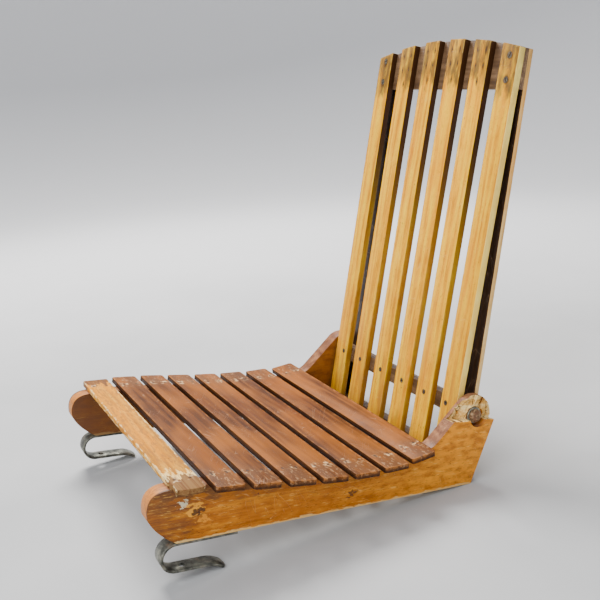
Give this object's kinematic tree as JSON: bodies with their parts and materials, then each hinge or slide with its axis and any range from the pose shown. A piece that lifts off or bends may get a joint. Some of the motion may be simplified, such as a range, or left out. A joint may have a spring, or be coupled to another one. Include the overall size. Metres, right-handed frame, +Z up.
{
  "type": "folding boat seat",
  "caption": "Slatted wooden seat with a cradle base, steel edge hooks under the front of the rails, and a tall arched slat back that folds flat on two pivot bolts.",
  "frame": {"origin": "on the floor under the middle of the seat's overall box, standing on the hook lips and the heels of the rails", "axes": "+Z up, +X across to the sitter's left, -Y towards the front edge and the hooks, +Y towards the back rest"},
  "size_m": [0.3864, 0.5149, 0.5168],
  "materials": {
    "rail_wood": "worn amber varnish",
    "seat_wood": "worn reddish brown varnish",
    "back_wood": "worn golden varnish",
    "bar_wood": "weathered varnish",
    "strap_steel": "dull dark steel",
    "screw_steel": "tarnished",
    "bolt_iron": "rusted",
    "nail_iron": "rusted"
  },
  "bodies": {
    "seat": {"rail_right": "rail_wood", "rail_left": "rail_wood", "stop_bar": "bar_wood", "seat_slat_1": "seat_wood", "seat_slat_2": "seat_wood", "seat_slat_3": "seat_wood", "seat_slat_4": "seat_wood", "seat_slat_5": "seat_wood", "seat_slat_6": "seat_wood", "seat_slat_7": "seat_wood", "seat_slat_8": "seat_wood", "hook_right": "strap_steel", "hook_left": "strap_steel", "hook_screws": "screw_steel", "seat_nails": "nail_iron"},
    "back": {"back_slat_1": "back_wood", "back_slat_2": "back_wood", "back_slat_3": "back_wood", "back_slat_4": "back_wood", "back_slat_5": "back_wood", "back_slat_6": "back_wood", "stile_right": "back_wood", "stile_left": "back_wood", "top_rail": "bar_wood", "pivot_bar": "bar_wood", "foot_bar": "bar_wood", "pivot_bolt_right": "bolt_iron", "pivot_bolt_left": "bolt_iron", "washer_right": "screw_steel", "washer_left": "screw_steel", "top_screws": "screw_steel", "bar_screws": "screw_steel", "foot_screws": "screw_steel", "stile_screws": "screw_steel", "top_nails": "nail_iron"}
  },
  "joints": [
    {"name": "back_fold", "type": "hinge", "parent": "seat", "child": "back", "pos_m": [0, 0.15078, 0.08242], "axis": [1, 0, 0], "range_deg": [0, 96]}
  ]
}
